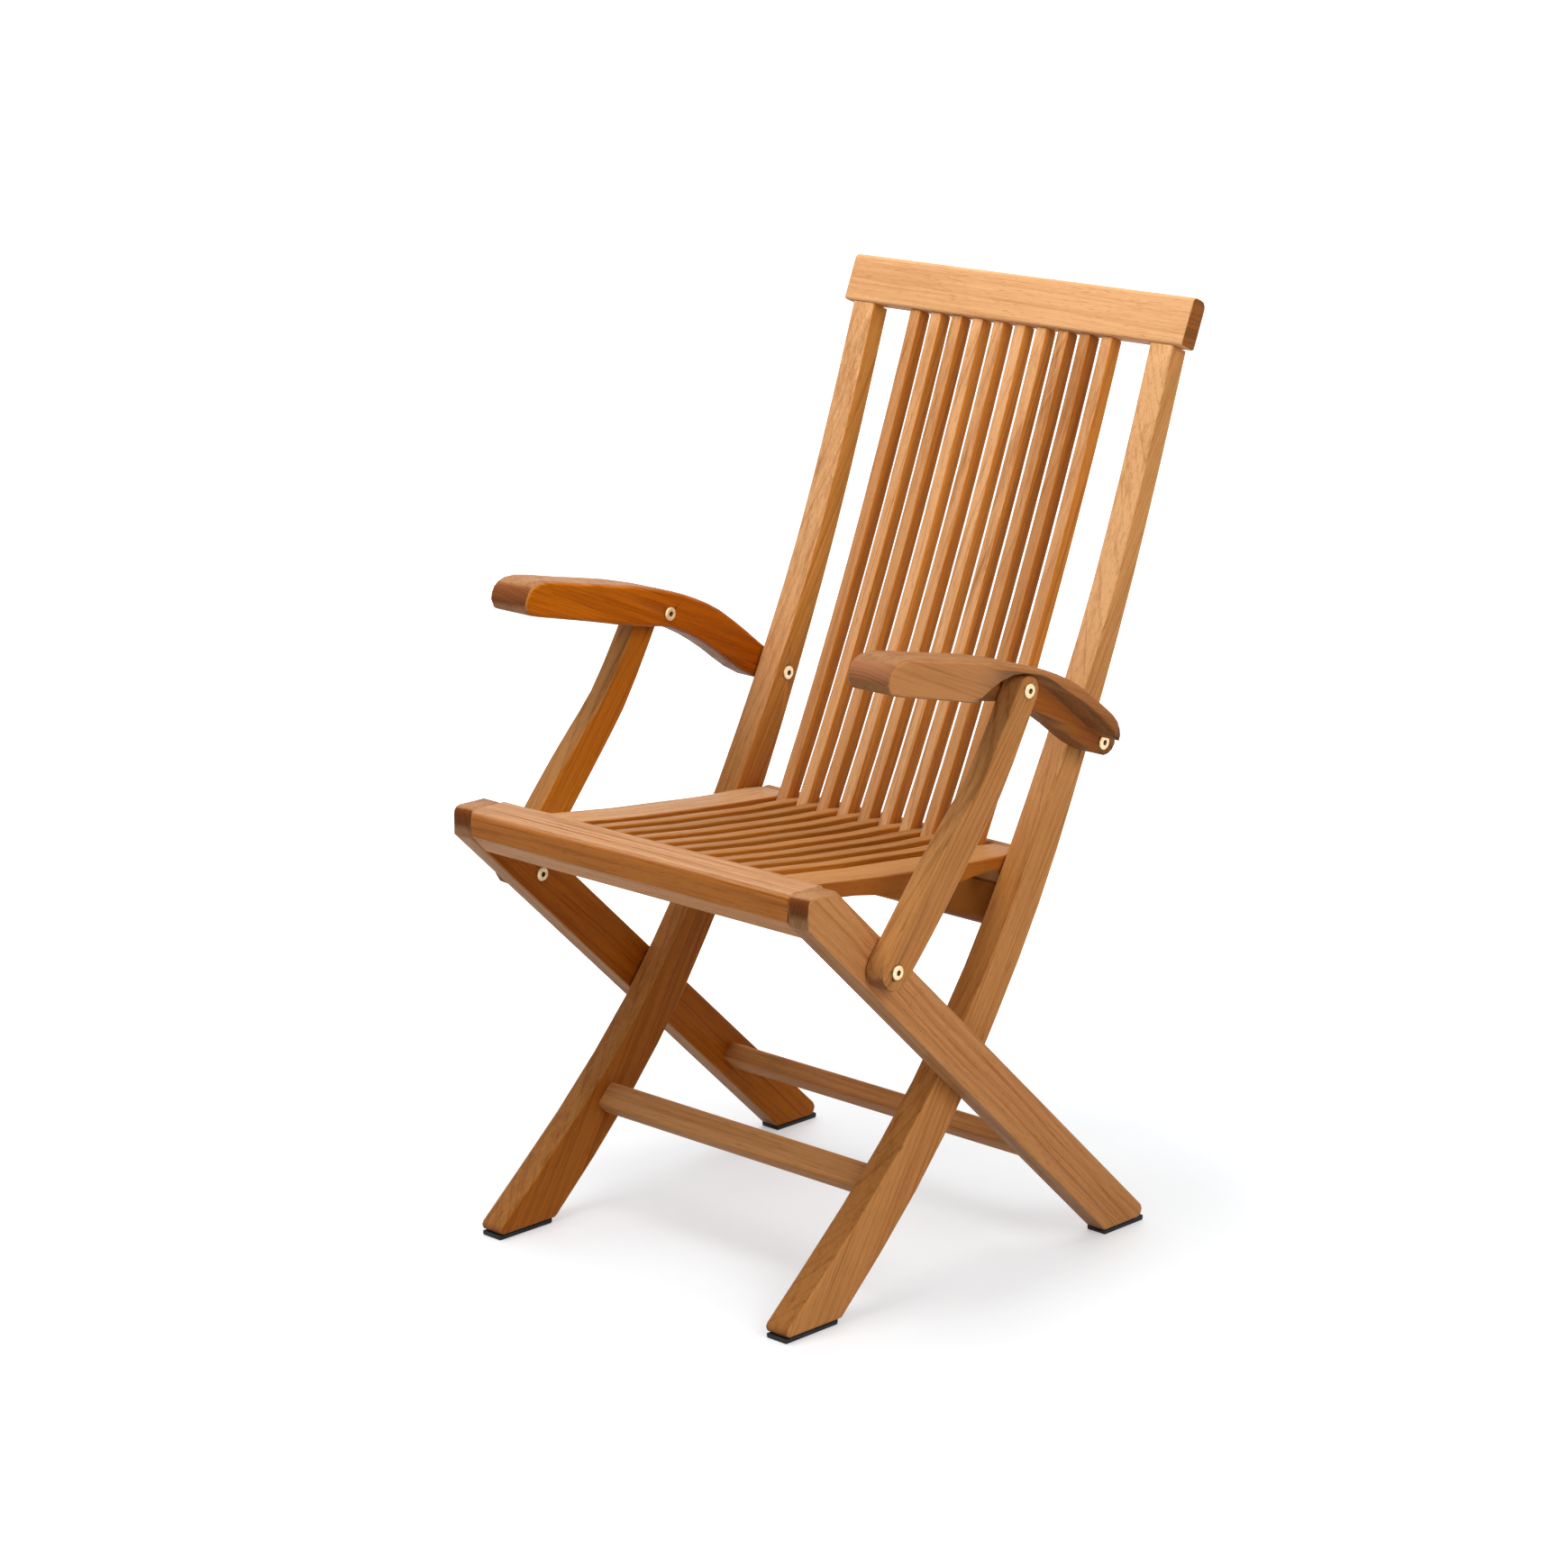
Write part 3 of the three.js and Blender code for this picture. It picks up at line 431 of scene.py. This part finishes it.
# The front rail's side tint falls on its front face and darkens it: painted shade under
# its rounded top edge.
dress("seat_front_rail", teak_board(
    "seat_front_rail_teak", across_chair, towards_front, pith=(0.012, 0.9, -0.2),
    light=(0.55, 0.28, 0.13), dark=(0.17, 0.058, 0.014), side=(0.9, 0.6, 0.26),
    ring_strength=0.55, seed=3.4))
dress("seat_rear_batten", teak_board(
    "seat_rear_batten_teak", across_chair, upright, pith=(0.01, 0.2, 0.2),
    light=(0.5, 0.22, 0.07), dark=(0.3, 0.11, 0.03), seed=3.9))
seat_run = (0, 1, -0.1)
seat_slat_light = (0.44, 0.2, 0.068)
seat_slat_dark = (0.28, 0.1, 0.025)
middle_shade = 0.92
shade_swing = 0.08
# The side tint is painted light and shade on the slats' faces in the gaps between them.
for number in range(1, 10):
    shade = middle_shade + shade_swing * math.sin(2.3 * number)
    dress(f"seat_slat_{number}", teak_board(
        f"seat_slat_{number}_teak", seat_run, across_chair,
        pith=(0.01, 0.03 * number, 0.2),
        light=tuple(part * shade for part in seat_slat_light),
        dark=tuple(part * shade for part in seat_slat_dark), side=(1.1, 0.8, 0.25),
        ring_width=0.007, ring_strength=0.3, seed=11 + 0.53 * number))
# Their side tints are painted shade on the rails' side faces, deeper on the far rail.
for node, seed, light, side_shading in (
        ("seat_left_rail", 17.0, (0.46, 0.215, 0.075), (0.92, 0.6, 0.2)),
        ("seat_right_rail", 18.3, (0.6, 0.33, 0.16), (0.75, 0.42, 0.1))):
    dress(node, teak_board(
        f"{node}_teak", seat_run, across_chair, pith=(0.01, 0.1, 0.2), light=light,
        dark=(0.34, 0.14, 0.045), side=side_shading, ring_width=0.007, ring_strength=0.3,
        seed=seed))

# The arms are sawn from thick teak boards: the web is bolted beside the post, and the
# wide top overhangs the curved support. Their rounded front ends are dark end grain.
arm_run = (0, -0.93, 0.37)
left_web_reach = 0.28
# The near arm's side tint is painted light, and its web, which stands back, gets painted
# shade under the top. The far arm's side tint is painted light and shade. Both arms'
# backs get painted shade.
arm_boards = {
    "left_arm": dict(
        pith=(0.01, 0.25, 0.3), light=(0.34, 0.157, 0.062), dark=(0.17, 0.062, 0.016),
        side=(1.62, 1.46, 1.24), end=(0.36, 0.14, 0.06), seed=20.3,
        recess=left_web_reach),
    "right_arm": dict(
        pith=(0.01, -0.3, 0.3), light=(0.41, 0.19, 0.078), dark=(0.13, 0.04, 0.008),
        side=(1.42, 0.8, 0.05), end=(0.23, 0.067, 0.018), seed=21.7),
}
for node, board in arm_boards.items():
    dress(node, teak_board(
        f"{node}_teak", arm_run, across_chair, end_start=0.72, ring_width=0.0036,
        ring_strength=0.26, start_shade_reach=0.36, start_shade_on_sides=0.9, **board))

# The curved supports are sawn from flat teak boards and stand outside the legs, each
# on one bolt at its foot and one under the arm.
support_run = (0, 0.61, 0.79)
# Their side tints are painted light on the near support's sides and painted shade on the
# far one's.
for node, seed, side_shading in (
        ("left_arm_support", 23.1, (1.12, 1.02, 0.95)),
        ("right_arm_support", 24.6, (1.16, 0.82, 0.2))):
    dress(node, teak_board(
        f"{node}_teak", support_run, across_chair, pith=(0.02, 0.02, 0.2),
        light=(0.48, 0.215, 0.066), dark=(0.22, 0.075, 0.016), side=side_shading,
        seed=seed))

# The barrel bolts are satin brass, with a hexagon socket in each flat flanged head.
# Handling has rubbed them brighter in places and left a thin brown film in others.


def make_metal_wear_and_shade():
    """Fine scratches and a dulling film, with painted shade in the socket and a painted
    shadow round the rim.
    """
    # The dark socket is painted shade in the hollow, and partly real blackening. The
    # brown round the rim is a painted shadow where the head meets the wood.
    socket_edge = (0.0027, 0.0032)
    rim_shadow_edge = (0.0072, 0.0082)
    socket_shade = (0.035, 0.024, 0.012, 1)
    rim_shadow_colour = (0.2, 0.12, 0.05, 1)
    across_the_head = (0, 1, 1)
    scratch_roughness = 0.25
    film_roughness = 0.12
    group, given, filled = group_nodes("metal_wear_and_shade", {
        "Place": "Vector", "Clean": "Color", "Film": "Color", "Dullness": "Float",
        "Centre": "Vector",
    }, {"Color": "Color", "Roughness": "Float"})
    place = given["Place"]
    film = between(group, noise_node(
        group, place, per_metre=(300, 300, 300), detail=3.0, roughness=0.6), (0.4, 0.7))
    scratches = noise_node(
        group, place, per_metre=(120, 4800, 360), detail=2.0, roughness=0.5)
    from_centre = vector_node(group, "SUBTRACT", "Vector", place, given["Centre"])
    from_axis = vector_node(group, "MULTIPLY", "Vector", from_centre, across_the_head)
    reach = vector_node(group, "LENGTH", "Value", from_axis)
    colour = blend_colours(group, film, given["Clean"], given["Film"])
    rim_shadow = between(group, reach, rim_shadow_edge, (0.0, 0.8))
    colour = blend_colours(group, rim_shadow, colour, rim_shadow_colour)
    socket = between(group, reach, socket_edge, (1.0, 0.0))
    feed(group, blend_colours(group, socket, colour, socket_shade), filled["Color"])
    scratched = times(group, minus(group, scratches, 0.5), scratch_roughness)
    roughness = plus(group, given["Dullness"], scratched)
    roughness = plus(group, roughness, times(group, film, film_roughness))
    feed(group, roughness, filled["Roughness"])
    return group


metal_wear_and_shade = make_metal_wear_and_shade()


def worn_shaded_metal(name, clean, film, dullness, centre):
    """A metal with the wear of handled fittings, and painted shade at its socket and rim,
    around one turning centre.
    """
    material, tree, shader = new_finish(name)
    wear = placed_group(tree, metal_wear_and_shade, {
        "Clean": clean, "Film": film, "Dullness": dullness, "Centre": centre})
    place = tree.nodes.new("ShaderNodeTexCoord")
    tree.links.new(place.outputs["Object"], wear.inputs["Place"])
    tree.links.new(wear.outputs["Color"], shader.inputs["Base Color"])
    tree.links.new(wear.outputs["Roughness"], shader.inputs["Roughness"])
    shader.inputs["Metallic"].default_value = 1.0
    return material


bolt_centres = {"arm_pivot": (0, 0.1392, 0.5663), "support_top": (0, -0.0153, 0.6542),
                "support_foot": (0, -0.2154, 0.3933)}
for place, centre in bolt_centres.items():
    brass = worn_shaded_metal(f"{place}_brass", clean=(0.95, 0.74, 0.46, 1),
                       film=(0.8, 0.58, 0.32, 1), dullness=0.5, centre=centre)
    for side in ("left", "right"):
        dress(f"{side}_{place}_screw", brass)
        dress(f"{side}_{place}_barrel", brass)

# The hidden turning pins at the crossings and in the ends of the seat's front rail
# are plain steel, dulled by the oil from the wood.
crossing_centre = (0, -0.0513, 0.2395)
pin_steel = worn_shaded_metal("pin_steel", clean=(0.55, 0.55, 0.54, 1),
                       film=(0.25, 0.2, 0.16, 1), dullness=0.38, centre=crossing_centre)
for side in ("left", "right"):
    dress(f"{side}_crossing_pin", pin_steel)
    dress(f"{side}_seat_pin", pin_steel)

# The four feet stand on black rubber pads, moulded with a fine matt texture and
# greyed a little by dust.


def make_pad_rubber():
    """Matt black rubber with moulded speckle and pale dust."""
    clean_rubber = (0.006, 0.006, 0.007, 1)
    dusty_rubber = (0.024, 0.023, 0.022, 1)
    material, tree, shader = new_finish("pad_rubber")
    place = tree.nodes.new("ShaderNodeTexCoord").outputs["Object"]
    dust = between(tree, noise_node(
        tree, place, per_metre=(90, 90, 90), detail=4.0, roughness=0.6), (0.5, 0.8))
    speckle = noise_node(
        tree, place, per_metre=(900, 900, 900), detail=2.0, roughness=0.5)
    feed(tree, blend_colours(tree, dust, clean_rubber, dusty_rubber),
         shader.inputs["Base Color"])
    feed(tree, between(tree, speckle, (0.3, 0.7), (0.6, 0.85)),
         shader.inputs["Roughness"])
    add_bump(tree, shader, speckle, strength=0.3, depth=0.0003)
    return material


pad_rubber = make_pad_rubber()
for side in ("left", "right"):
    for end in ("front", "rear"):
        dress(f"{side}_{end}_pad", pad_rubber)

# The studio floor is a white sweep of matt paint. Where the camera or a reflection sees
# it, it also glows as painted light: faintly near the chair, so that the chair's shadow
# stays close around the feet, and up to full white farther off.
floor_reach = 14.0
floor_mesh = bpy.data.meshes.new("floor")
floor_mesh.from_pydata(
    [(-floor_reach, -floor_reach, 0), (floor_reach, -floor_reach, 0),
     (floor_reach, floor_reach, 0), (-floor_reach, floor_reach, 0)], [], [(0, 1, 2, 3)])
floor = bpy.data.objects.new("floor", floor_mesh)
scene.collection.objects.link(floor)


def looked_at(tree):
    """One where the camera, a reflection or a clear piece shows a surface."""
    ray = tree.nodes.new("ShaderNodeLightPath").outputs
    seen = math_node(tree, "MAXIMUM", ray["Is Camera Ray"], ray["Is Glossy Ray"])
    return math_node(tree, "MAXIMUM", seen, ray["Is Transmission Ray"])


# What the camera sees of the lit floor stops at white. A reflection doesn't, so it
# gets a darker paint, which brings it near the same white.
floor_white = (0.69, 0.715, 0.735, 1)
reflected_white = (0.36, 0.37, 0.38, 1)
floor_paint, floor_tree, floor_shader = new_finish("floor_paint")
in_reflection = floor_tree.nodes.new("ShaderNodeLightPath").outputs["Is Glossy Ray"]
feed(floor_tree, blend_colours(floor_tree, in_reflection, floor_white, reflected_white),
     floor_shader.inputs["Base Color"])
floor_shader.inputs["Roughness"].default_value = 0.6
floor_shader.inputs["Specular IOR Level"].default_value = 0.2
floor_shader.inputs["Emission Color"].default_value = (1, 1, 1, 1)
glow_start, glow_end = 0.42, 0.95
glow_at_chair = 0.36
floor_place = floor_tree.nodes.new("ShaderNodeTexCoord").outputs["Object"]
floor_glow = between(
    floor_tree, vector_node(floor_tree, "LENGTH", "Value", floor_place),
    (glow_start, glow_end), (glow_at_chair, 1.0))
feed(floor_tree, times(floor_tree, looked_at(floor_tree), floor_glow),
     floor_shader.inputs["Emission Strength"])
floor_mesh.materials.append(floor_paint)

# The room beyond the floor looks white as well, and most of the light that it gives
# comes from behind the chair, where the sweep runs up.
behind_chair = (-0.65, 0.7, 0.3)
sweep_edge = (0.2, 0.8)
light_off_the_sweep = 0.2
world = bpy.data.worlds.new("studio")
scene.world = world
world.use_nodes = True
world_tree = world.node_tree
room = world_tree.nodes["Background"]
room.inputs["Color"].default_value = (1, 1, 1, 1)
sky_place = world_tree.nodes.new("ShaderNodeTexCoord").outputs["Generated"]
sweep_side = vector_node(world_tree, "DOT_PRODUCT", "Value", sky_place, behind_chair)
room_light = between(world_tree, sweep_side, sweep_edge, (light_off_the_sweep, 1.0))
feed(world_tree, math_node(world_tree, "MAXIMUM", looked_at(world_tree), room_light),
     room.inputs["Strength"])

# Two broad soft lamps light the chair: one overhead, and one farther off on its left,
# which is weaker by the time it reaches the wood.


def add_lamp(name, place, target, width, power):
    """A square lamp that faces a point of the chair, its power in watts."""
    lamp = bpy.data.lights.new(name, "AREA")
    lamp.shape = "SQUARE"
    lamp.size = width
    lamp.energy = power
    holder = bpy.data.objects.new(name, lamp)
    holder.location = place
    holder.rotation_mode = "QUATERNION"
    holder.rotation_quaternion = (Vector(target) - Vector(place)).to_track_quat("-Z", "Y")
    scene.collection.objects.link(holder)


chair_middle = (0, 0, 0.6)
add_lamp("overhead_lamp", (-0.2, -0.55, 2.3), chair_middle, width=1.4, power=34)
add_lamp("side_lamp", (2.4, -0.6, 1.9), chair_middle, width=1.6, power=32)
